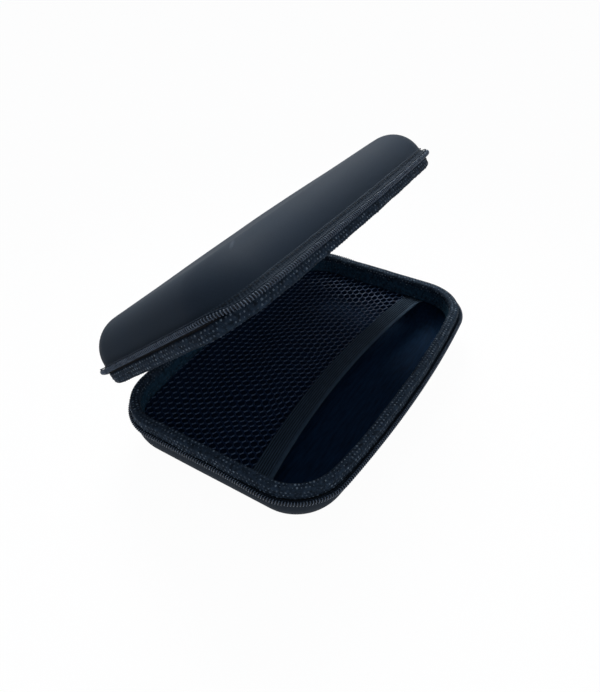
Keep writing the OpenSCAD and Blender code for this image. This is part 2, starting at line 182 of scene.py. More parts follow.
# Outer skins: coated polyester knit laminated to the foam and moulded with it, smooth and
# half matt, pulled tight over the rounded edges. Each ends under the zip tape below the rim.
low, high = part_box("base_binding")
RIM_L, RIM_W, BASE_H = high.x - low.x, high.y - low.y, high.z
low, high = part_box("base_zip_coil")
LIP_STAND = BASE_H - (low.z + high.z) / 2
lid_joint = next(j for j in frame["joints"] if j["name"] == "lid_hinge")
HINGE = Vector(lid_joint["pos_m"])
LID_ANGLE = -math.radians(lid_joint["range_deg"][0])
LID_H = 23 * MM
CORNER_R, LONG_BOW = 23 * MM, 5.2 * MM
PANEL_R, DRAFT = 15 * MM, math.radians(6)
SKIN_T, FOAM_T, LINING_T = 0.6 * MM, 2.6 * MM, 0.5 * MM
WALL_DEPTH = SKIN_T + FOAM_T + LINING_T
STATIONS = 480

side_r = ((RIM_L / 2) ** 2 + LONG_BOW ** 2) / (2 * LONG_BOW)
side_y = RIM_W / 2 - side_r
corner_x = RIM_L / 2 - CORNER_R
corner_y = side_y + math.sqrt((side_r - CORNER_R) ** 2 - corner_x ** 2)
bow = math.asin(corner_x / (side_r - CORNER_R))
quarter = math.pi / 2
# The outline as arcs (centre, radius, first and last angle), clockwise from the middle of the
# rear. A straight end is an arc of no angle, and its length is in place of its radius.
ARCS = [
    ((0, side_y), side_r, quarter, quarter - bow),
    ((corner_x, corner_y), CORNER_R, quarter - bow, 0),
    ((RIM_L / 2, corner_y), 2 * corner_y, 0, 0),
    ((corner_x, -corner_y), CORNER_R, 0, bow - quarter),
    ((0, -side_y), side_r, bow - quarter, -bow - quarter),
    ((-corner_x, -corner_y), CORNER_R, -bow - quarter, -2 * quarter),
    ((-RIM_L / 2, -corner_y), 2 * corner_y, 2 * quarter, 2 * quarter),
    ((-corner_x, corner_y), CORNER_R, 2 * quarter, quarter + bow),
    ((0, side_y), side_r, quarter + bow, quarter)]
arc_lengths = [r if a == b else r * abs(b - a) for _, r, a, b in ARCS]
arc_ends = np.cumsum(arc_lengths)
RIM_ROUND = float(arc_ends[-1])


def rim(s):
    """Plan points of the rim at lengths s along it, and their outward directions."""
    points, outward = [], []
    for v in np.atleast_1d(s) % RIM_ROUND:
        k = min(int(np.searchsorted(arc_ends, v, side="right")), len(ARCS) - 1)
        (cx, cy), r, a, b = ARCS[k]
        done = v - (arc_ends[k] - arc_lengths[k])
        t = a if a == b else a + (b - a) * done / arc_lengths[k]
        out = (math.cos(t), math.sin(t))
        if a == b:
            points.append((cx, cy - done * math.copysign(1, cy)))
        else:
            points.append((cx + r * out[0], cy + r * out[1]))
        outward.append(out)
    return np.array(points), np.array(outward)


def eased(v, start=0.0, over=1.0):
    """Comes up smoothly from 0 to 1, beginning at start, over the length given."""
    v = np.clip((v - start) / over, 0, 1)
    return v * v * (3 - 2 * v)


# The loose zip of the lower shell hangs in at the left end and rises behind the right end. The
# lid's zip has slipped towards the panel along its left end. Each comes up from a start, over a
# length, along x and along y.
HANG_OUT, HANG_UP, RISE_OUT, RISE_UP = -1.2 * MM, -0.6 * MM, 0.8 * MM, 2.3 * MM
SLIP_UP = -2.4 * MM
HANG_X, HANG_Y = (-50 * MM, -25 * MM), (-32 * MM, 25 * MM)
RISE_X, RISE_Y = (52 * MM, 20 * MM), (0, 25 * MM)
SLIP_X, SLIP_Y = (-70 * MM, -10 * MM), (66 * MM, -24 * MM)
# The tape is held by its seam, and loose from here outwards
LOOSE_FROM, LOOSE_OVER = 0.6 * MM, 1.2 * MM


def limp(points, u, shell):
    """How far the zip of a shell has settled from its even line, outwards and up."""
    if shell is None:
        return 0.0, 0.0
    x, y = points[:, :1], points[:, 1:]
    loose = np.clip((u - LOOSE_FROM) / LOOSE_OVER, 0, 1)
    if shell == "lid":
        return 0.0, eased(x, *SLIP_X) * eased(y, *SLIP_Y) * loose * SLIP_UP
    hang = eased(x, *HANG_X) * eased(y, *HANG_Y) * loose
    rise = eased(x, *RISE_X) * eased(y, *RISE_Y) * loose
    return hang * HANG_OUT + rise * RISE_OUT, hang * HANG_UP + rise * RISE_UP


def round_rim(section, s, shell=None):
    """Points of a section, (outwards, up), at each length s along the rim."""
    points, outward = rim(s)
    section = np.array(section)
    u = np.broadcast_to(section[None, :, 0], (len(points), len(section)))
    z = np.broadcast_to(section[None, :, 1], u.shape)
    out, up = limp(points, u, shell)
    flat = points[:, None, :] + outward[:, None, :] * (u + out)[:, :, None]
    return np.concatenate([flat, (z + up)[:, :, None]], axis=2)


def in_base(p):
    """The lower shell is made where it lies."""
    return np.asarray(p, float)


def in_lid(p):
    """The lid is made like the lower shell, then turned over above it and opened."""
    p = np.asarray(p, float)
    rim_gap = 2 * (HINGE.z - BASE_H)
    y, z = p[..., 1] - HINGE.y, BASE_H + rim_gap + LID_H - p[..., 2] - HINGE.z
    c, s = math.cos(LID_ANGLE), math.sin(LID_ANGLE)
    return np.stack([p[..., 0], HINGE.y + y * c + z * s, HINGE.z - y * s + z * c], axis=-1)


# The two shells: their name, height and how a piece made lying flat is put in its place
SHELLS = (("base", BASE_H, in_base), ("lid", LID_H, in_lid))


def coil_level(h):
    """Height of the coil in a shell that is h high, as it lies on its panel."""
    return h - LIP_STAND


def fillet_u(h):
    """How far out from the rim the centre of the panel's rounded edge lies."""
    return (-PANEL_R + (PANEL_R - coil_level(h)) * math.sin(DRAFT)) / math.cos(DRAFT)


def wall_u(h, z, depth):
    """The wall's face at that depth below its outside, outwards from the rim, at height z."""
    r = PANEL_R - depth
    if z > coil_level(h):
        return -depth
    if z > PANEL_R - r * math.sin(DRAFT):
        return -(coil_level(h) - z) * math.tan(DRAFT) - depth / math.cos(DRAFT)
    return fillet_u(h) + math.sqrt(max(r * r - (PANEL_R - z) ** 2, 0))


def add_piece(name, mesh, body, material, stands_for=()):
    """Links a finished mesh as a piece of the case that rides on a body."""
    piece = bpy.data.objects.new(name, mesh)
    scene.collection.objects.link(piece)
    mesh.materials.clear()
    mesh.materials.append(material)
    for polygon in mesh.polygons:
        polygon.use_smooth = True
    if body:
        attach(piece, body)
    if stands_for:
        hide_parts(*stands_for)
    return piece


def grid_mesh(name, grid, wrap_rows, wrap_columns, along=None, across=None):
    """A mesh over a grid of points, with a UV map in metres and its normals outwards."""
    n, m = grid.shape[:2]
    rows, columns = n if wrap_rows else n - 1, m if wrap_columns else m - 1
    quads = [(i * m + j, i * m + (j + 1) % m, (i + 1) % n * m + (j + 1) % m, (i + 1) % n * m + j)
             for i in range(rows) for j in range(columns)]
    mesh = bpy.data.meshes.new(name)
    mesh.from_pydata(grid.reshape(-1, 3).tolist(), [], quads)
    if along is not None:
        layer = mesh.uv_layers.new(name="surface")
        corners = [(along[i + di], across[j + dj]) for i in range(rows) for j in range(columns)
                   for di, dj in ((0, 0), (0, 1), (1, 1), (1, 0))]
        layer.data.foreach_set("uv", np.array(corners, float).ravel())
    shape = bmesh.new()
    shape.from_mesh(mesh)
    if wrap_columns and not wrap_rows:
        shape.verts.ensure_lookup_table()
        shape.faces.new([shape.verts[j] for j in range(m)])
        shape.faces.new([shape.verts[(n - 1) * m + j] for j in range(m)])
    bmesh.ops.remove_doubles(shape, verts=shape.verts, dist=0.002 * MM)
    bmesh.ops.recalc_face_normals(shape, faces=shape.faces)
    shape.to_mesh(mesh)
    shape.free()
    return mesh


# How far the middle of each flat panel swells outwards, and how uneven the moulding is. Each
# shell reads its own part of the noise, which moves it outwards and down by this share.
CROWN = {"base": -0.3 * MM, "lid": 0.9 * MM}
UNEVEN, UNEVEN_SIZE, UNEVEN_FADE = 0.16 * MM, 34 * MM, 6 * MM
UNEVEN_AT, UNEVEN_DOWN = {"base": 0, "lid": 3.1}, -0.6
WALL_STEPS, ARC_STEPS = 7, 16
PANEL_EDGE = 1.5 * MM
PANEL_RINGS = (0.985, 0.95, 0.9, 0.82, 0.72, 0.6, 0.46, 0.3, 0.14, 0.0)


def shell_face(shell, h, depth, top):
    """One face of a shell: down the wall from height top, round the fillet and over the panel."""
    r = PANEL_R - depth
    bend_z = PANEL_R - r * math.sin(DRAFT)
    section = [(wall_u(h, z, depth), z) for z in np.linspace(top, bend_z, WALL_STEPS)[:-1]]
    for a in np.linspace(-DRAFT, -quarter, ARC_STEPS):
        section.append((fillet_u(h) + r * math.cos(a), PANEL_R + r * math.sin(a)))
    section.append((fillet_u(h) - PANEL_EDGE, depth))
    s = np.linspace(0, RIM_ROUND, STATIONS, endpoint=False)
    wall = round_rim(section, s)
    edge = wall[:, -1:, :]
    rings = [edge * [t, t, 1] - [0, 0, CROWN[shell] * (1 - t * t) ** 2] for t in PANEL_RINGS]
    grid = np.concatenate([wall] + rings, axis=1)
    for p in grid.reshape(-1, 3):
        free = min(1.0, max(0.0, (top - p[2]) / UNEVEN_FADE))
        wave = noise.noise(Vector(p) / UNEVEN_SIZE + Vector((UNEVEN_AT[shell], 0, 0)))
        away = Vector((p[0] / RIM_L, p[1] / RIM_W, UNEVEN_DOWN)).normalized()
        p += np.array(away) * wave * UNEVEN * free
    return grid


def dome(name, shell, h, outer_depth, inner_depth, top, place):
    """A closed shell between two depths below the outside."""
    outer = shell_face(shell, h, outer_depth, top)
    inner = shell_face(shell, h, inner_depth, top)
    return grid_mesh(name, place(np.concatenate([outer, inner[:, ::-1]], axis=1)), True, True)


SKIN_SHORT = 1.2 * MM
skins = {shell: dome(f"{shell}_outer_skin", shell, h, 0, SKIN_T, coil_level(h) - SKIN_SHORT, place)
         for shell, h, place in SHELLS}

# The lid has one short pale scuff, where the photo shows it. Its place in the photo's pixels is
# carried along the line of sight to the skin.
SCUFF_PX = (232, 243.5)
SCUFF_L, SCUFF_W, SCUFF_TURN = 7.0 * MM, 1.2 * MM, math.radians(32)
right, up, back = axes
ray = (right * (SCUFF_PX[0] - PHOTO_W / 2) - up * (SCUFF_PX[1] - PHOTO_H / 2)) / FOCAL_PX - back
lid_skin = skins["lid"]
lid_face = BVHTree.FromPolygons([v.co for v in lid_skin.vertices], [f.vertices for f in lid_skin.polygons])
scuff_at = lid_face.ray_cast(EYE, ray)[0]

# Coated knit: matt black with a blue cast and a soft sheen. Its grain is finer than a render
# shows, so it is drawn at 0.45 mm.
skin_cloth, tree = blank_material("coated_knit")
where = node(tree, "ShaderNodeTexCoord").outputs["Object"]
cloud = node(tree, "ShaderNodeTexNoise", {
    "Vector": where, "Scale": 1 / (26 * MM), "Detail": 4.0, "Roughness": 0.6})
grain = node(tree, "ShaderNodeTexNoise", {"Vector": where, "Scale": 1 / (0.45 * MM), "Detail": 2.0})
tint = node(tree, "ShaderNodeMix", {0: cloud, 6: linear("#19222b"), 7: linear("#222c37")}, data_type="RGBA")
speck = node(tree, "ShaderNodeMix", {
    0: grain, 6: (0.82, 0.82, 0.82, 1), 7: (1.18, 1.18, 1.18, 1)}, data_type="RGBA")
dyed = node(tree, "ShaderNodeMix", {0: 1.0, 6: tint.outputs[2], 7: speck.outputs[2]}, data_type="RGBA",
            blend_type="MULTIPLY")
scuff_way = node(tree, "ShaderNodeMapping", {
    "Vector": where, "Location": scuff_at, "Rotation": (0.0, 0.0, SCUFF_TURN),
    "Scale": (SCUFF_L, SCUFF_W, SCUFF_L)}, vector_type="TEXTURE")
scuff_far = node(tree, "ShaderNodeVectorMath", {0: scuff_way}, operation="LENGTH")
scuff_torn = node(tree, "ShaderNodeMath", {0: grain, 1: 0.9, 2: scuff_far.outputs["Value"]},
                  operation="MULTIPLY_ADD")
scuff = node(tree, "ShaderNodeMapRange", {"Value": scuff_torn, "From Min": 0.6, "From Max": 1.2,
                                          "To Min": 0.3, "To Max": 0.0})
worn = node(tree, "ShaderNodeMix", {0: scuff, 6: dyed.outputs[2], 7: linear("#5d646e")}, data_type="RGBA")
gloss = node(tree, "ShaderNodeMapRange", {"Value": cloud, "To Min": 0.7, "To Max": 0.85})
surfaced(tree, worn.outputs[2], roughness=gloss, specular=0.12, relief=grain, strength=0.35, depth=0.05 * MM)

for shell, h, place in SHELLS:
    add_piece(f"{shell}_outer_skin", skins[shell], shell, skin_cloth, [f"{shell}_skin"])

# Foam cores: closed-cell EVA foam, moulded under heat between the skin and the lining. It is
# matt dark grey with fine cells, and the binding covers its cut edge.
foam_grey, tree = blank_material("moulded_eva_foam")
where = node(tree, "ShaderNodeTexCoord").outputs["Object"]
cells = node(tree, "ShaderNodeTexVoronoi", {"Vector": where, "Scale": 1 / (0.5 * MM)})
tint = node(tree, "ShaderNodeMix", {0: cells, 6: linear("#1d1d1f"), 7: linear("#2b2b2d")}, data_type="RGBA")
surfaced(tree, tint.outputs[2], roughness=0.9, specular=0.1, relief=cells, strength=0.5, depth=0.1 * MM)
BINDING_T = 0.6 * MM
for shell, h, place in SHELLS:
    mesh = dome(f"{shell}_foam_core", shell, h, SKIN_T, SKIN_T + FOAM_T, h - 2 * BINDING_T, place)
    add_piece(f"{shell}_foam_core", mesh, shell, foam_grey, [f"{shell}_foam"])

# Linings: brushed warp knit bonded inside the foam, near black with a blue cast. Its wales
# run along the hinge as fine lines.
lining_knit, tree = blank_material("brushed_knit")
WALE, FOLD_R, LINING_SHORT = 1.3 * MM, 1.3 * MM, 0.5 * MM
where = node(tree, "ShaderNodeTexCoord").outputs["Object"]
stretched = node(tree, "ShaderNodeMapping", {"Vector": where, "Scale": (0.15, 1, 1)})
wales = node(tree, "ShaderNodeTexNoise", {"Vector": stretched, "Scale": 1 / WALE, "Detail": 3.0})
cloud = node(tree, "ShaderNodeTexNoise", {"Vector": where, "Scale": 1 / (18 * MM), "Detail": 3.0})
tint = node(tree, "ShaderNodeMix", {0: wales, 6: linear("#060e18"), 7: linear("#142b44")}, data_type="RGBA")
gloss = node(tree, "ShaderNodeMapRange", {"Value": cloud, "To Min": 0.5, "To Max": 0.75})
surfaced(tree, tint.outputs[2], roughness=gloss, specular=0.02, relief=wales, strength=0.6, depth=0.12 * MM)
for shell, h, place in SHELLS:
    top = h - FOLD_R - LINING_SHORT
    mesh = dome(f"{shell}_inner_lining", shell, h, SKIN_T + FOAM_T, WALL_DEPTH, top, place)
    add_piece(f"{shell}_inner_lining", mesh, shell, lining_knit, [f"{shell}_lining"])

# Bindings: spun-bonded polypropylene tape, embossed all over with small staggered dots,
# folded over each rim and sewn through, so that it covers the foam's raw edge.
LIP_T = 2 * BINDING_T + FOAM_T + LINING_T
BINDING_IN, PUFF = 10 * MM, 0.22 * MM
# The inner leg starts this far below the fold. Its sewn line lies above its edge, and pinches it.
LEG_DROP, SEAM_IN = 1.2 * MM, 1.8 * MM
PINCH, PINCH_SIZE = 0.35, 0.5 * MM


def fold(u, z, r, first, last, steps=7):
    """Points of an arc of radius r about (u, z), from the first angle to the last, in degrees."""
    return [(u + r * math.cos(a), z + r * math.sin(a))
            for a in (math.radians(v) for v in np.linspace(first, last, steps))]


def binding_outside(h, off=0.0):
    """The binding's outer face from the zip up, over the rim and down inside, off proud of it."""
    foot = h - BINDING_IN
    face = [(PUFF * math.sin(math.pi * t) + off, coil_level(h) + t * (LIP_STAND - FOLD_R))
            for t in (0, 0.3, 0.65)]
    face += fold(-FOLD_R, h - FOLD_R, FOLD_R + off, 0, 90)
    face += [(-LIP_T / 2, h + off)]
    face += fold(-LIP_T + FOLD_R, h - FOLD_R, FOLD_R + off, 90, 180)
    for z in np.linspace(h - FOLD_R - LEG_DROP, foot, 8):
        u = wall_u(h, z, WALL_DEPTH)
        pinch = PINCH * math.exp(-((z - foot - SEAM_IN) / PINCH_SIZE) ** 2)
        face.append((u - BINDING_T * (1 - pinch) - off, z))
    return face


def binding_inside(h):
    """The hidden face against the foam and the lining, from the foot back to the zip."""
    foot = h - BINDING_IN
    r = FOLD_R - BINDING_T
    face = [(wall_u(h, z, WALL_DEPTH), z) for z in np.linspace(foot, coil_level(h), 5)]
    face += fold(-LIP_T + FOLD_R, h - FOLD_R, r, 180, 90, 4) + fold(-FOLD_R, h - FOLD_R, r, 90, 0, 4)
    return face + [(-BINDING_T, coil_level(h))]


def lengths(points, closed=True):
    """Running length over a line of points."""
    p = np.array(points)
    step = np.linalg.norm(np.diff(np.vstack([p, p[:1]]) if closed else p, axis=0), axis=1)
    return np.concatenate([[0], np.cumsum(step)])


# How far the sewn binding wanders from an even line, and over what length. noise_vector needs a
# seed, or the tape and the net would lie in a new way in each run.
WANDER, WANDER_SIZE = 0.42 * MM, 17 * MM
noise.seed_set(1)


def wandering(p):
    """Points of a rim moved a little sideways and down, as soft tape that was sewn by hand lies."""
    p = np.array(p)
    for q in p.reshape(-1, 3):
        x, y, z = noise.noise_vector(Vector(q) / WANDER_SIZE)
        q += np.array([x, y, -abs(z)]) * WANDER
    return p


def band_round(name, section, place, first=0.0, last=None, shell=None):
    """A closed section swept round the rim, all the way or from one length to another."""
    whole = last is None
    s = np.linspace(first, RIM_ROUND if whole else last, STATIONS + 1)
    grid = round_rim(section, s[:-1] if whole else s, shell)
    grid = place(wandering(grid) if whole else grid)
    return grid_mesh(name, grid, whole, True, s, lengths(section))


# Spun-bonded tape: matt and mottled by its loose fibres. Its inner leg, inside the case, is painted
# bluer, a painted shade standing for the blue shade there. Measured across the tape from the zip, the inner
# leg starts here.
INNER_LEG, INNER_FADE = 10 * MM, 3 * MM
spunbond, tree = blank_material("spunbond_tape")
where = node(tree, "ShaderNodeTexCoord").outputs["Object"]
fibres = node(tree, "ShaderNodeTexNoise", {"Vector": where, "Scale": 1 / (0.35 * MM), "Detail": 4.0,
                                           "Roughness": 0.7, "Distortion": 1.5})
cloud = node(tree, "ShaderNodeTexNoise", {"Vector": where, "Scale": 1 / (1.5 * MM), "Detail": 3.0})
spread = node(tree, "ShaderNodeUVMap", uv_map="surface")
across = node(tree, "ShaderNodeSeparateXYZ", {0: spread})
# Painted shade: the tape is painted bluer over its inner leg
painted_inner_shade = node(tree, "ShaderNodeMapRange", {"Value": across.outputs["Y"], "From Min": INNER_LEG,
                                         "From Max": INNER_LEG + INNER_FADE})
low = node(tree, "ShaderNodeMix", {0: painted_inner_shade, 6: linear("#0f1821"), 7: linear("#11232f")}, data_type="RGBA")
high = node(tree, "ShaderNodeMix", {0: painted_inner_shade, 6: linear("#2e3a46"), 7: linear("#2b4759")}, data_type="RGBA")
tint = node(tree, "ShaderNodeMix", {0: fibres, 6: low.outputs[2], 7: high.outputs[2]}, data_type="RGBA")
patch = node(tree, "ShaderNodeMapRange", {"Value": cloud, "From Min": 0.3, "From Max": 0.7,
                                          "To Min": 0.35, "To Max": 1.6})
dyed = node(tree, "ShaderNodeVectorMath", {0: tint.outputs[2], "Scale": patch}, operation="SCALE")
surfaced(tree, dyed, roughness=0.75, specular=0.05, relief=fibres, strength=0.7, depth=0.12 * MM)

# Melted dots: where the hot roller melted the fibres together, they shine more and look paler.
melted, tree = blank_material("melted_polypropylene_dots")
where = node(tree, "ShaderNodeTexCoord").outputs["Object"]
uneven = node(tree, "ShaderNodeTexNoise", {"Vector": where, "Scale": 1 / (2.2 * MM), "Detail": 1.0})
bright = node(tree, "ShaderNodeMapRange", {"Value": uneven, "From Min": 0.38, "From Max": 0.68})
tint = node(tree, "ShaderNodeMix", {0: bright, 6: linear("#2c3742"), 7: linear("#68757f")},
            data_type="RGBA")
surfaced(tree, tint.outputs[2], roughness=0.5, specular=0.12)


def new_tree(name, sockets):
    """A geometry node tree with a geometry input and output and the named inputs."""
    made = bpy.data.node_groups.new(name, "GeometryNodeTree")
    made.interface.new_socket("Geometry", in_out="INPUT", socket_type="NodeSocketGeometry")
    for socket, kind in sockets:
        made.interface.new_socket(socket, in_out="INPUT", socket_type="NodeSocket" + kind)
    made.interface.new_socket("Geometry", in_out="OUTPUT", socket_type="NodeSocketGeometry")
    return made, node(made, "NodeGroupInput")


def grown(name, guide, grower, **values):
    """The mesh that a node tree grows on a guide mesh, with the tree's inputs set by name."""
    holder = bpy.data.objects.new(name, guide)
    scene.collection.objects.link(holder)
    growth = holder.modifiers.new("growth", "NODES")
    growth.node_group = grower
    for item in grower.interface.items_tree:
        key = item.name.lower().replace(" ", "_")
        if item.in_out == "INPUT" and key in values:
            growth[item.identifier] = values[key]
    graph = bpy.context.evaluated_depsgraph_get()
    mesh = bpy.data.meshes.new_from_object(holder.evaluated_get(graph), depsgraph=graph)
    holder.modifiers.remove(growth)
    bpy.data.objects.remove(holder)
    mesh.name = name
    return mesh


def finished(tree, given, made):
    """Ends a tree of geometry nodes: what it made becomes real and gets its finish."""
    real = node(tree, "GeometryNodeRealizeInstances", {"Geometry": made})
    faced = node(tree, "GeometryNodeSetMaterial", {"Geometry": real, "Material": given.outputs["Finish"]})
    node(tree, "NodeGroupOutput", {"Geometry": faced})


def moved(mesh, place):
    """Puts a mesh made lying flat in its place, turned the right way out again if it was mirrored."""
    points = np.zeros(len(mesh.vertices) * 3)
    mesh.vertices.foreach_get("co", points)
    mesh.vertices.foreach_set("co", place(points.reshape(-1, 3)).ravel())
    if place is in_lid:
        mesh.flip_normals()
    mesh.update()
    return mesh


# Rows lie closer than the dots in a row, and each is half a dot further along than the last.
# Inside, the tape was pulled tight over the fold, which flattens its dots by this share, from a
# depth below the rim and over a height.
DOT_PITCH, DOT_R, DOT_SUNK, DOT_UNEVEN = 1.75 * MM, 0.68 * MM, 0.47 * MM, 0.11 * MM
DOT_ROWS = DOT_PITCH * 0.866
DOT_FLATTER, FLATTER_FROM, FLATTER_OVER = 0.22, 1.5 * MM, 3.5 * MM
dot_grower, given = new_tree("dots_on_points", [("Dot Radius", "Float"), ("Unevenness", "Float"),
                                                ("Finish", "Material")])
least = node(dot_grower, "ShaderNodeMath", {0: given.outputs["Unevenness"], 1: -1.0}, operation="MULTIPLY")
astray = node(dot_grower, "FunctionNodeRandomValue", {"Seed": 7}, data_type="FLOAT_VECTOR")
dot_grower.links.new(least.outputs[0], astray.inputs["Min"])
dot_grower.links.new(given.outputs["Unevenness"], astray.inputs["Max"])
strewn = node(dot_grower, "GeometryNodeSetPosition", {"Geometry": given.outputs["Geometry"],
                                                      "Offset": astray.outputs["Value"]})
dot_shape = node(dot_grower, "GeometryNodeMeshIcoSphere", {
    "Radius": given.outputs["Dot Radius"], "Subdivisions": 1})
swollen = node(dot_grower, "GeometryNodeInputNamedAttribute", {"Name": "swell"}, data_type="FLOAT")
dots = node(dot_grower, "GeometryNodeInstanceOnPoints", {"Points": strewn,
                                                         "Instance": dot_shape.outputs["Mesh"],
                                                         "Scale": swollen.outputs["Attribute"]})
finished(dot_grower, given, dots)


def along_line(points, spacing):
    """Points evenly spaced along a line of points, about as far apart as asked."""
    run = lengths(points, closed=False)
    count = max(1, round(run[-1] / spacing))
    at = (np.arange(count) + 0.5) * run[-1] / count
    p = np.array(points)
    return np.stack([np.interp(at, run, p[:, k]) for k in range(p.shape[1])], axis=1)


for shell, h, place in SHELLS:
    mesh = band_round(f"{shell}_rim_binding", binding_outside(h) + binding_inside(h), place)
    add_piece(f"{shell}_rim_binding", mesh, shell, spunbond, [f"{shell}_binding"])
    rows = along_line(binding_outside(h, -DOT_SUNK), DOT_ROWS)
    count = round(RIM_ROUND / DOT_PITCH)
    spots = np.concatenate([round_rim([row], (np.arange(count) + 0.5 * (k % 2)) * RIM_ROUND / count)[:, 0]
                            for k, row in enumerate(rows)])
    guide = bpy.data.meshes.new("dot_places")
    guide.from_pydata(wandering(spots).tolist(), [], [])
    inside = np.where(rows[:, 0] < -LIP_T / 2, (h - rows[:, 1] - FLATTER_FROM) / FLATTER_OVER, 0.0)
    swell = guide.attributes.new("swell", "FLOAT", "POINT")
    swell.data.foreach_set("value", np.repeat(1 - DOT_FLATTER * np.clip(inside, 0, 1), count))
    mesh = grown(f"{shell}_binding_dots", guide, dot_grower, dot_radius=DOT_R, unevenness=DOT_UNEVEN,
                 finish=melted)
    add_piece(f"{shell}_binding_dots", moved(mesh, place), shell, melted)

# Zip tapes: woven polyester, sewn flat on the skin below the rim, then standing off it to
# carry the coil. A thin corded edge shows along the skin above the coil.
TAPE_T, TAPE_SEAM, TAPE_LOOSE = 0.5 * MM, 1.3 * MM, 2.5 * MM
COIL_OUT = 2 * MM
SPINE_L = 76 * MM
half_open = side_r * math.asin(SPINE_L / 2 / side_r)
ZIP_FROM, ZIP_TO = half_open, RIM_ROUND - half_open
# How much of its thickness the sewn part stands off the skin, from its foot up, and the way of
# the loose part to the coil: its shares of the way out and of the way up.
TAPE_STANDS = (0.02, 0.12, 0.3, 0.6)
TAPE_WAY = ((0.12, 0.25), (0.4, 0.5), (0.75, 0.68), (0.95, 0.82), (1.0, 1.0))


def tape_section(h):
    """The tape's section: up its outside from the foot on the skin to the coil, then back."""
    c = coil_level(h)
    seam_top = c - TAPE_LOOSE
    foot = seam_top - TAPE_SEAM
    seam = np.linspace(foot, seam_top, len(TAPE_STANDS))
    out = [(wall_u(h, z, 0) + TAPE_T * t, z) for z, t in zip(seam, TAPE_STANDS)]
    start, end = wall_u(h, seam_top, 0), COIL_OUT
    line = [(start + (end - start) * a, seam_top + (c - seam_top) * b) for a, b in TAPE_WAY]
    out += [(u + TAPE_T / 2, z - TAPE_T / 4) for u, z in line]
    back = [(u - TAPE_T / 2, z + TAPE_T / 4) for u, z in reversed(line)]
    return out + back + [(wall_u(h, z, 0), z) for z in np.linspace(seam_top, foot, len(TAPE_STANDS))]


# Woven tape: matt, with fine ribs along it and paler picks across it, one to each tooth. A wave
# texture repeats each time that its scaled input grows by this much. The tape is paler where it
# lies on the skin and is painted darker from there towards the coil, a painted shade under the
# coil, which comes in over this part of its width.
RIB, PICK = 0.8 * MM, 1.17 * MM
WAVE = math.pi / 10
COIL_SHADE_FROM, COIL_SHADE_FADE = 0.6 * MM, 3 * MM
tape_weave, tree = blank_material("woven_polyester_tape")
spread = node(tree, "ShaderNodeUVMap", uv_map="surface")
ribs = node(tree, "ShaderNodeTexWave", {
    "Vector": spread, "Scale": WAVE / RIB, "Distortion": 0.4}, bands_direction="Y")
picks = node(tree, "ShaderNodeTexWave", {
    "Vector": spread, "Scale": WAVE / PICK, "Distortion": 0.6}, bands_direction="X")
weave = node(tree, "ShaderNodeMath", {0: ribs.outputs["Fac"], 1: picks.outputs["Fac"]},
             operation="MULTIPLY")
over = node(tree, "ShaderNodeSeparateXYZ", {0: spread})
# Painted shade: the tape is painted darker from here towards the coil
painted_coil_shade = node(tree, "ShaderNodeMapRange", {"Value": over.outputs["Y"], "From Min": COIL_SHADE_FROM,
                                          "From Max": COIL_SHADE_FROM + COIL_SHADE_FADE})
cloth = node(tree, "ShaderNodeMix", {0: painted_coil_shade, 6: linear("#1d262f"), 7: linear("#131b24")},
             data_type="RGBA")
tint = node(tree, "ShaderNodeMix", {0: picks.outputs["Fac"], 6: cloth.outputs[2], 7: linear("#2b343d")},
            data_type="RGBA")
surfaced(tree, tint.outputs[2], roughness=0.7, specular=0.06, relief=weave, strength=0.6, depth=0.12 * MM)

CORD_R, CORD_IN, CORD_DROP = 0.2 * MM, 0.1 * MM, 1.45 * MM
for shell, h, place in SHELLS:
    mesh = band_round(f"{shell}_tape", tape_section(h), place, ZIP_FROM, ZIP_TO, shell)
    add_piece(f"{shell}_tape", mesh, shell, tape_weave, [f"{shell}_zip_tape"])
    ring = fold(COIL_OUT - CORD_IN, coil_level(h) - CORD_DROP, CORD_R, 0, 324, 10)
    mesh = band_round(f"{shell}_corded_edge", ring, place, ZIP_FROM, ZIP_TO, shell)
    add_piece(f"{shell}_corded_edge", mesh, shell, tape_weave)

# Zip coils: one nylon monofilament wound into a row of loops round a cord and sewn to the
# tape's edge. Each loop is one tooth.
TOOTH_PITCH, WIRE_R = 1.17 * MM, 0.19 * MM
TOOTH_OUT, TOOTH_UP, TOOTH_DROP = 0.62 * MM, 0.88 * MM, 0.1 * MM
TOOTH_LEAN, CORE_R = math.radians(14), 0.42 * MM
# Nylon monofilament: smooth and half glossy, so that each loop catches the light
nylon, tree = blank_material("nylon_monofilament")
where = node(tree, "ShaderNodeTexCoord").outputs["Object"]
cloud = node(tree, "ShaderNodeTexNoise", {"Vector": where, "Scale": 1 / (3 * MM), "Detail": 2.0})
tint = node(tree, "ShaderNodeMix", {0: cloud, 6: linear("#2b3643"), 7: linear("#606e7e")}, data_type="RGBA")
gloss = node(tree, "ShaderNodeMapRange", {"Value": cloud, "To Min": 0.22, "To Max": 0.35})
surfaced(tree, tint.outputs[2], roughness=gloss, specular=0.3)

# Polyester thread, of the cord and of all stitches: black and softly matt
thread, tree = blank_material("polyester_thread")
where = node(tree, "ShaderNodeTexCoord").outputs["Object"]
cloud = node(tree, "ShaderNodeTexNoise", {"Vector": where, "Scale": 1 / (0.3 * MM), "Detail": 1.0})
tint = node(tree, "ShaderNodeMix", {0: cloud, 6: linear("#070c12"), 7: linear("#151c25")}, data_type="RGBA")
surfaced(tree, tint.outputs[2], roughness=0.6, specular=0.15)


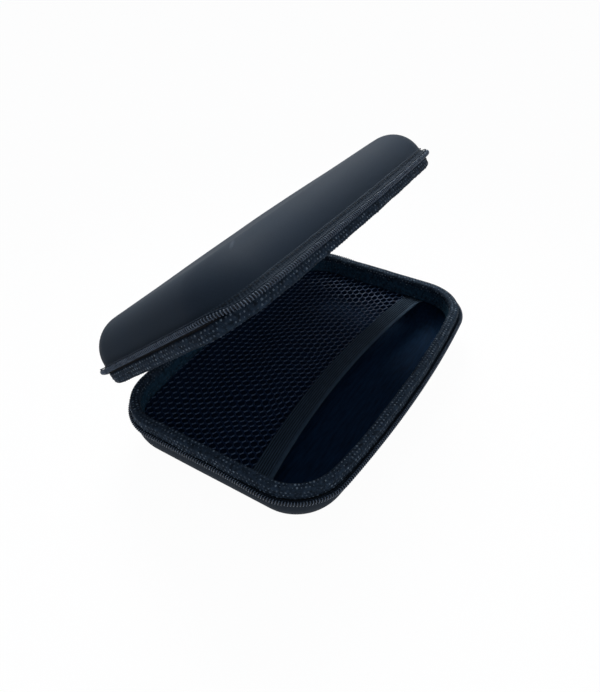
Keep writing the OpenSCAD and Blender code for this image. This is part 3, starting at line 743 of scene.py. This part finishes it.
def set_along(tree, given, shape):
    """Sets a shape along the tree's guide line, a pitch apart, turned with the line and upright."""
    line = node(tree, "GeometryNodeMeshToCurve", {"Mesh": given.outputs["Geometry"]})
    upright = node(tree, "GeometryNodeSetCurveNormal", {"Curve": line}, mode="Z_UP")
    places = node(tree, "GeometryNodeCurveToPoints", {
        "Curve": upright, "Length": given.outputs["Pitch"]}, mode="LENGTH")
    row = node(tree, "GeometryNodeInstanceOnPoints", {
        "Points": places, "Instance": shape, "Rotation": places.outputs["Rotation"]})
    finished(tree, given, row)


tooth_grower, given = new_tree("teeth_along_a_line", [
    ("Pitch", "Float"), ("Wire Radius", "Float"), ("Half Out", "Float"), ("Half Up", "Float"),
    ("Lean", "Float"), ("Finish", "Material")])
loop = node(tooth_grower, "GeometryNodeCurvePrimitiveCircle", {"Resolution": 12, "Radius": 1.0})
oval = node(tooth_grower, "ShaderNodeCombineXYZ", {
    "X": given.outputs["Half Out"], "Y": given.outputs["Half Up"], "Z": 1.0})
pressed = node(tooth_grower, "GeometryNodeTransform", {"Geometry": loop, "Scale": oval})
wire = node(tooth_grower, "GeometryNodeCurvePrimitiveCircle", {
    "Resolution": 6, "Radius": given.outputs["Wire Radius"]})
tooth = node(tooth_grower, "GeometryNodeCurveToMesh", {"Curve": pressed, "Profile Curve": wire})
tilt = node(tooth_grower, "ShaderNodeCombineXYZ", {"X": given.outputs["Lean"], "Y": 0.0, "Z": 0.0})
leaning = node(tooth_grower, "GeometryNodeTransform", {"Geometry": tooth, "Rotation": tilt})
set_along(tooth_grower, given, leaning)
GUIDE_STEP = 0.8 * MM


def line_round(u, z, first, last, shell):
    """A guide line round the rim, u outwards and z up, from one length to another."""
    s = np.linspace(first, last, round((last - first) / GUIDE_STEP))
    points = round_rim([(u, z)], s, shell)[:, 0]
    # Inside the rim it follows the binding
    if u < 0:
        points = wandering(points)
    guide = bpy.data.meshes.new("line_round")
    guide.from_pydata(points.tolist(), [(i, i + 1) for i in range(len(points) - 1)], [])
    return guide


for shell, h, place in SHELLS:
    level = coil_level(h) - TOOTH_DROP
    guide = line_round(COIL_OUT, level, ZIP_FROM, ZIP_TO, shell)
    mesh = grown(f"{shell}_coil_teeth", guide, tooth_grower, pitch=TOOTH_PITCH, wire_radius=WIRE_R,
                 half_out=TOOTH_OUT, half_up=TOOTH_UP, lean=TOOTH_LEAN, finish=nylon)
    add_piece(f"{shell}_coil_teeth", moved(mesh, place), shell, nylon, [f"{shell}_zip_coil"])
    ring = fold(COIL_OUT, level, CORE_R, 0, 315, 8)
    mesh = band_round(f"{shell}_coil_cord", ring, place, ZIP_FROM, ZIP_TO, shell)
    add_piece(f"{shell}_coil_cord", mesh, shell, thread)

# Stitches: black polyester lockstitch, one row through each binding inside and one through
# each zip tape's sewn edge.
STITCH_PITCH, STITCH_L, THREAD_R = 2.6 * MM, 2.1 * MM, 0.17 * MM
# How far the thread stands off the lining, pressed into the binding, and how far below the top
# of the tape's seam it runs
THREAD_OFF, TAPE_STITCH_DROP = BINDING_T * 0.72, 0.6 * MM
stitch_grower, given = new_tree("stitches_along_a_line", [
    ("Pitch", "Float"), ("Stitch Length", "Float"), ("Thread Radius", "Float"), ("Finish", "Material")])
ball = node(stitch_grower, "GeometryNodeMeshUVSphere", {"Segments": 8, "Rings": 6, "Radius": 1.0})
half_length = node(stitch_grower, "ShaderNodeMath", {0: given.outputs["Stitch Length"], 1: 0.5},
                   operation="MULTIPLY")
long_way = node(stitch_grower, "ShaderNodeCombineXYZ", {
    "X": given.outputs["Thread Radius"], "Y": given.outputs["Thread Radius"], "Z": half_length})
stitch = node(stitch_grower, "GeometryNodeTransform", {"Geometry": ball, "Scale": long_way})
set_along(stitch_grower, given, stitch)

for shell, h, place in SHELLS:
    z = h - BINDING_IN + SEAM_IN
    tape_z = coil_level(h) - TAPE_LOOSE - TAPE_STITCH_DROP
    for name, u, level, first, last in (
            ("binding_stitches", wall_u(h, z, WALL_DEPTH) - THREAD_OFF, z, 0, RIM_ROUND),
            ("tape_stitches", wall_u(h, tape_z, 0) + TAPE_T, tape_z, ZIP_FROM, ZIP_TO)):
        guide = line_round(u, level, first, last, shell)
        mesh = grown(f"{shell}_{name}", guide, stitch_grower, pitch=STITCH_PITCH,
                     stitch_length=STITCH_L, thread_radius=THREAD_R, finish=thread)
        add_piece(f"{shell}_{name}", moved(mesh, place), shell, thread)

# Net: knitted polyester mesh with rounded six-sided gaps, sewn in under the binding along the
# rear and the ends, and hanging a little between them and the band.
NET_X, NET_Y = 4.0 * MM, 2.85 * MM
NET_ROWS, NET_COLUMNS = range(-9, 20), range(-22, 23)
NET_HOLE_X, NET_HOLE_Y = 0.78, 0.9
# The net is taut at its edge, and hangs by its full sag this far in
NET_T, NET_SAG, NET_TAUT = 0.5 * MM, 1.6 * MM, 18 * MM
# It goes under the binding this deep, and a gap's middle may lie this far past its edge
NET_UNDER, NET_PAST = 0.6 * MM, 1.2 * MM
# The knit lies in slow waves, this long, that drift it sideways and lift it
NET_WAVE, NET_DRIFT, NET_LIFT = 20 * MM, 1.8 * MM, 0.7 * MM
BAND_W, BAND_Y, BAND_BOW = 9.6 * MM, 16 * MM, 7 * MM
pocket_z = BASE_H - BINDING_IN
pocket_u = wall_u(BASE_H, pocket_z - NET_UNDER, WALL_DEPTH)
band_half = RIM_L / 2 + pocket_u
band_r = (band_half ** 2 + BAND_BOW ** 2) / (2 * BAND_BOW)


def band_line(x, d=0.0):
    """The band's line across the tray, d behind its middle."""
    return -BAND_Y - band_r + math.sqrt((band_r + d) ** 2 - x * x)


def inside_by(x, y, u):
    """How far a plan point lies inside the rim's outline moved outwards by u, and the way out."""
    ax, ay = abs(x), abs(y)
    if ax > corner_x and ay > corner_y:
        way = Vector((ax - corner_x, ay - corner_y))
        gap = CORNER_R + u - way.length
    elif RIM_L / 2 - ax < side_y + side_r - ay:
        way, gap = Vector((1, 0)), RIM_L / 2 + u - ax
    else:
        way = Vector((ax, ay - side_y))
        gap = side_r + u - way.length
    way.normalize()
    return gap, Vector((math.copysign(way.x, x), math.copysign(way.y, y)))


def net_point(x, y, z):
    """A point of the net, drawn in to the pocket's edge, with the net's sag and small waves."""
    gap, way = inside_by(x, y, pocket_u)
    if gap < 0:
        x, y = x + way.x * gap, y + way.y * gap
        gap = 0
    front = max(0.0, y - band_line(x))
    loose = min(1.0, gap / NET_TAUT) * min(1.0, front / NET_TAUT)
    wave = noise.noise_vector(Vector((x, y, 0)) / NET_WAVE) * loose
    level = z + pocket_z - NET_T - loose * NET_SAG + wave.z * NET_LIFT
    return x + wave.x * NET_DRIFT, y + wave.y * NET_DRIFT, level


net = bmesh.new()
corner_angles = [math.radians(30 * k) for k in range(12)]
hexagon = []
for k, a in enumerate(corner_angles):
    # Corners at odd steps, and the middles of the sides between them
    r = 1.0 if k % 2 else math.cos(math.radians(30))
    hexagon.append((r * math.cos(a) * NET_X / math.sqrt(3), r * math.sin(a) * NET_Y / 1.5))
# A gap's half length and half width, before the yarns take their share
OVAL_X, OVAL_Y = NET_X / 2, NET_Y / math.sqrt(3)
made_at = {}
NET_MERGE = 0.01 * MM
# The yarns on one slant carry a painted glint: they are painted paler, as if they caught more light than
# those between
painted_glint = net.faces.layers.float.new("doubled_yarn")
PAINTED_GLINT_SIDES = (1, 2, 7, 8)


def net_vertex(x, y, z):
    """The net's vertex at a place on the flat net, shared by the gaps that meet there."""
    key = tuple(round(v / NET_MERGE) for v in (x, y, z))
    if key not in made_at:
        made_at[key] = net.verts.new(net_point(x, y, z))
    return made_at[key]


for j in NET_ROWS:
    for i in NET_COLUMNS:
        x, y = (i + 0.5 * (j % 2)) * NET_X, j * NET_Y
        if y < band_line(x) or inside_by(x, y, pocket_u)[0] < -NET_PAST:
            continue
        rings = []
        for yarn_a in (quarter, quarter / 2, 0.0, -quarter / 2, -quarter):
            soft, z = math.cos(yarn_a), math.sin(yarn_a) * NET_T / 2
            scale_x, scale_y = 1 - (1 - NET_HOLE_X) * soft, 1 - (1 - NET_HOLE_Y) * soft
            ring = []
            for (hx, hy), a in zip(hexagon, corner_angles):
                rx = hx * (1 - soft) + soft * OVAL_X * math.cos(a)
                ry = hy * (1 - soft) + soft * OVAL_Y * math.sin(a)
                ring.append(net_vertex(x + rx * scale_x, y + ry * scale_y, z))
            rings.append(ring)
        for inner, outer in zip(rings, rings[1:]):
            for k in range(12):
                corners = [inner[k], inner[(k + 1) % 12], outer[(k + 1) % 12], outer[k]]
                if len(set(corners)) == 4 and net.faces.get(corners) is None:
                    net.faces.new(corners)[painted_glint] = 1.0 if k in PAINTED_GLINT_SIDES else 0.0
bmesh.ops.recalc_face_normals(net, faces=net.faces)
net_mesh = bpy.data.meshes.new("net_pocket")
net.to_mesh(net_mesh)
net.free()

# Knitted filament yarn: smooth and blue-black, with a painted glint that makes the yarns on one slant paler
net_yarn, tree = blank_material("knitted_polyester_yarn")
where = node(tree, "ShaderNodeTexCoord").outputs["Object"]
yarns = node(tree, "ShaderNodeTexNoise", {
    "Vector": where, "Scale": 1 / (0.3 * MM), "Detail": 3.0, "Distortion": 1.0})
yarn_tint = node(tree, "ShaderNodeMix", {0: yarns, 6: linear("#0a1729"), 7: linear("#182c46")},
              data_type="RGBA")
glint_tint = node(tree, "ShaderNodeMix", {0: yarns, 6: linear("#223040"), 7: linear("#5e7088")},
              data_type="RGBA")
# Painted glint: the yarns on one slant are painted paler
which = node(tree, "ShaderNodeAttribute", attribute_name="doubled_yarn")
tint = node(tree, "ShaderNodeMix", {0: which.outputs["Fac"], 6: yarn_tint.outputs[2], 7: glint_tint.outputs[2]},
            data_type="RGBA")
surfaced(tree, tint.outputs[2], roughness=0.35, specular=0.09, relief=yarns, strength=0.5, depth=0.1 * MM)
net_piece = add_piece("net_pocket", net_mesh, "base", net_yarn, ["mesh_pocket"])

# Elastic band: woven ribbed elastic along the net's free edge, drawn back in a bow by the
# net, with its ends caught under the binding.
BAND_T, RIBS, RIB_UP = 0.7 * MM, 7, 0.32 * MM
PLAIN_EDGE, BAND_CORNER = 2.0 * MM, 0.1 * MM
# The band rests on the net's edge and sags between its ends, which go under the binding and are
# drawn down there
BAND_REST, BAND_SAG, BAND_STEPS = 0.05 * MM, 0.5 * MM, 121
BAND_UNDER, TUCK_DROP, TUCK_OVER = 0.3 * MM, 1.3 * MM, 5 * MM
rib_w = (BAND_W - PLAIN_EDGE) / RIBS
band_top = [(-BAND_W / 2 + PLAIN_EDGE * v, BAND_T + RIB_UP * (1 - (2 * v - 1) ** 4))
            for v in np.linspace(0, 1, 7)[:-1]]
band_top += [(-BAND_W / 2 + PLAIN_EDGE + rib_w * v, BAND_T + RIB_UP * abs(math.sin(math.pi * v)) ** 0.7)
             for v in np.linspace(0, RIBS, RIBS * 6 + 1)]
band_section = band_top + [
    (BAND_W / 2, BAND_CORNER), (BAND_W / 2 - 2 * BAND_CORNER, 0),
    (-BAND_W / 2 + 2 * BAND_CORNER, 0), (-BAND_W / 2, BAND_CORNER)]
over_band = lengths(band_section)
ribs_from, rib_over = float(over_band[6]), float(over_band[12] - over_band[6])

# Ribbed elastic: woven polyester over rubber, matt, with grey ribs and its furrows painted black, a painted
# shade in the furrows
elastic, tree = blank_material("ribbed_elastic")
spread = node(tree, "ShaderNodeUVMap", uv_map="surface")
threads = node(tree, "ShaderNodeTexWave", {
    "Vector": spread, "Scale": WAVE / (0.6 * MM), "Distortion": 1.0, "Detail": 1.0}, bands_direction="X")
furrows = node(tree, "ShaderNodeTexWave", {
    "Vector": spread, "Scale": WAVE / rib_over, "Phase Offset": -2 * math.pi * ribs_from / rib_over},
    bands_direction="Y")
over = node(tree, "ShaderNodeSeparateXYZ", {0: spread})
plain = node(tree, "ShaderNodeMath", {0: over.outputs["Y"], 1: ribs_from}, operation="LESS_THAN")
painted_furrow_shade = node(tree, "ShaderNodeMath", {0: furrows.outputs["Fac"], 1: plain}, operation="MAXIMUM")
where = node(tree, "ShaderNodeTexCoord").outputs["Object"]
cloud = node(tree, "ShaderNodeTexNoise", {"Vector": where, "Scale": 1 / (6 * MM), "Detail": 3.0})
# Painted shade: the furrows between the ribs are painted darker than the ribs
tint = node(tree, "ShaderNodeMix", {0: painted_furrow_shade, 6: linear("#091118"), 7: linear("#2c3945")}, data_type="RGBA")
patch = node(tree, "ShaderNodeMapRange", {"Value": cloud, "To Min": 0.7, "To Max": 1.3})
dyed = node(tree, "ShaderNodeVectorMath", {0: tint.outputs[2], "Scale": patch}, operation="SCALE")
surfaced(tree, dyed, roughness=0.65, specular=0.05,
         relief=threads.outputs["Fac"], strength=0.5, depth=0.1 * MM)

end_x = band_half + BAND_UNDER


def tucked(x):
    """How far the band is drawn down at x."""
    return TUCK_DROP * eased(1 - (end_x - abs(x)) / TUCK_OVER)


grid = []
for x in np.linspace(-end_x, end_x, BAND_STEPS):
    low_z = pocket_z + BAND_REST - tucked(x)
    sag = BAND_SAG * math.cos(math.pi * x / (2 * end_x))
    grid.append([(x, band_line(x, d), low_z - sag + z) for d, z in band_section])
grid = np.array(grid)
mesh = grid_mesh("elastic_band", grid, False, True, lengths(grid[:, 0], closed=False), over_band)
add_piece("elastic_band", mesh, "base", elastic, ["pocket_elastic"])

# Bar tacks: dense zigzag stitching that holds each end of the band, in two short bars.
TACK_TURNS, TACK_STEP, TACK_IN, TACK_HALF_W, TACK_OFF = 15, 0.22 * MM, 2.6 * MM, 0.6 * MM, 0.05 * MM
tack_lines = []
tack_edges = []
for side in (-1, 1):
    for part in (-1, 1):
        for k in range(TACK_TURNS):
            x = side * (band_half - TACK_IN + (TACK_HALF_W if k % 2 else -TACK_HALF_W))
            d = part * BAND_W / 4 + (k - TACK_TURNS // 2) * TACK_STEP
            z = pocket_z + BAND_T + RIB_UP - tucked(x)
            tack_lines.append((x, band_line(x, d), z + TACK_OFF))
            if k:
                tack_edges.append((len(tack_lines) - 2, len(tack_lines) - 1))
guide = bpy.data.meshes.new("tack_lines")
guide.from_pydata(tack_lines, tack_edges, [])
thread_grower, given = new_tree("thread_along_a_line", [("Thread Radius", "Float"), ("Finish", "Material")])
line = node(thread_grower, "GeometryNodeMeshToCurve", {"Mesh": given.outputs["Geometry"]})
ring = node(thread_grower, "GeometryNodeCurvePrimitiveCircle", {
    "Resolution": 6, "Radius": given.outputs["Thread Radius"]})
laid = node(thread_grower, "GeometryNodeCurveToMesh", {
    "Curve": line, "Profile Curve": ring, "Fill Caps": True})
finished(thread_grower, given, laid)
mesh = grown("band_tacks", guide, thread_grower, thread_radius=THREAD_R, finish=thread)
add_piece("band_tacks", mesh, "base", thread, ["elastic_tacks"])

# Spine: a strip of woven polyester sewn to the outside of both shells along the rear, lined
# inside with binding tape. It is bent between the shells as the lid stands open.
SPINE_T, SPINE_LINING_T, SPINE_OFF = 0.9 * MM, 0.4 * MM, 0.05 * MM
# Its seam's width on each shell, the height at which it leaves the wall, and where the bend between
# the shells is drawn to, from the hinge
SPINE_SEAM, SPINE_LEAVE, BEND_OUT, BEND_DOWN = 7 * MM, 1.2 * MM, 1.4 * MM, 0.8 * MM
SPINE_SHORT, SPINE_STEPS = 0.5 * MM, 61


def rear_point(x, u, z, place):
    """A point behind the rear of a shell at x: u outwards from its rim, and z up from its panel."""
    return place([x, side_y + math.sqrt(side_r ** 2 - x * x) + u, z])


def spine_line(x, u):
    """The spine's line at x, u off the walls, from its seam on the base to its seam on the lid."""
    cb, cl = coil_level(BASE_H), coil_level(LID_H)
    on_base = [rear_point(x, wall_u(BASE_H, z, 0) + u, z, in_base)
               for z in np.linspace(cb - SPINE_SEAM, cb, 6)]
    p = rear_point(x, u, cb + SPINE_LEAVE, in_base)
    q = rear_point(x, u, cl + SPINE_LEAVE, in_lid)
    bowed = side_r - math.sqrt(side_r ** 2 - x * x)
    c = np.array([x, HINGE.y + BEND_OUT - bowed + u, HINGE.z - BEND_DOWN])
    bend = [(1 - t) ** 2 * p + 2 * t * (1 - t) * c + t * t * q for t in np.linspace(0, 1, 15)]
    on_lid = [rear_point(x, wall_u(LID_H, z, 0) + u, z, in_lid)
              for z in np.linspace(cl, cl - SPINE_SEAM, 6)]
    return on_base + bend + on_lid


SPINE_THREAD = 0.9 * MM
# Polyester canvas: matt, with a fine even grain of paler threads
spine_cloth, tree = blank_material("woven_polyester_spine")
spread = node(tree, "ShaderNodeUVMap", uv_map="surface")
warp, weft = (node(tree, "ShaderNodeTexWave", {
    "Vector": spread, "Scale": WAVE / SPINE_THREAD, "Distortion": 0.5}, bands_direction=way) for way in "XY")
weave = node(tree, "ShaderNodeMath", {0: warp.outputs["Fac"], 1: weft.outputs["Fac"]}, operation="MAXIMUM")
tint = node(tree, "ShaderNodeMix", {0: weave, 6: linear("#10141a"), 7: linear("#282e36")}, data_type="RGBA")
surfaced(tree, tint.outputs[2], roughness=0.7, specular=0.06, relief=weave, strength=0.7, depth=0.12 * MM)

bend_from = rear_point(0, 0, coil_level(BASE_H) + SPINE_LEAVE, in_base)
bend_to = rear_point(0, 0, coil_level(LID_H) + SPINE_LEAVE, in_lid)
spine_x = np.linspace(-SPINE_L / 2 + SPINE_SHORT, SPINE_L / 2 - SPINE_SHORT, SPINE_STEPS)
spine_on = SPINE_OFF + SPINE_LINING_T
for name, node_name, u0, u1, slot, material in (
        ("spine_strip", "hinge_strip", spine_on, spine_on + SPINE_T, "spine_fabric", spine_cloth),
        ("spine_lining", "hinge_lining", SPINE_OFF, spine_on, "binding", spunbond)):
    grid = np.array([spine_line(x, u1) + spine_line(x, u0)[::-1] for x in spine_x])
    mesh = grid_mesh(name, grid, False, True, spine_x, lengths(grid[SPINE_STEPS // 2]))
    piece = add_piece(name, mesh, None, material, [node_name])
    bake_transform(piece)

# Sliders and pulls: zinc die castings with black enamel, their edges tumbled round. They are the
# CAD's own shapes, with their edges rounded here.
EDGE_ROUND, SHARP, FLAT, FLAT_SIZE = 0.12 * MM, math.radians(40), math.radians(1), 0.4 * MM
# Enamel: smooth and glossy, a little uneven, and rubbed paler on its edges
enamel, tree = blank_material("black_enamel")
where = node(tree, "ShaderNodeTexCoord").outputs["Object"]
orange_peel = node(tree, "ShaderNodeTexNoise", {"Vector": where, "Scale": 1 / (0.8 * MM), "Detail": 2.0})
edge = node(tree, "ShaderNodeNewGeometry")
rub = node(tree, "ShaderNodeMapRange", {
    "Value": edge.outputs["Pointiness"], "From Min": 0.52, "From Max": 0.6})
tint = node(tree, "ShaderNodeMix", {0: rub, 6: linear("#0e1115"), 7: linear("#2c3036")}, data_type="RGBA")
gloss = node(tree, "ShaderNodeMapRange", {"Value": orange_peel, "To Min": 0.3, "To Max": 0.45})
surfaced(tree, tint.outputs[2], roughness=gloss, specular=0.3,
         relief=orange_peel, strength=0.2, depth=0.04 * MM)
for name in ("slider_left", "slider_right", "pull_left", "pull_right"):
    shape = bmesh.new()
    shape.from_mesh(frame["nodes"][name].data)
    bmesh.ops.remove_doubles(shape, verts=shape.verts, dist=0.001 * MM)
    bmesh.ops.dissolve_limit(shape, angle_limit=FLAT, verts=shape.verts, edges=shape.edges)
    sharp = [e for e in shape.edges if len(e.link_faces) == 2 and e.calc_face_angle() > SHARP]
    bmesh.ops.bevel(shape, geom=sharp, offset=EDGE_ROUND, segments=2, affect="EDGES", clamp_overlap=True)
    mesh = bpy.data.meshes.new(f"{name}_casting")
    shape.to_mesh(mesh)
    shape.free()
    piece = add_piece(f"{name}_casting", mesh, name, enamel, [name])
    for polygon in mesh.polygons:
        polygon.use_smooth = polygon.area < FLAT_SIZE ** 2
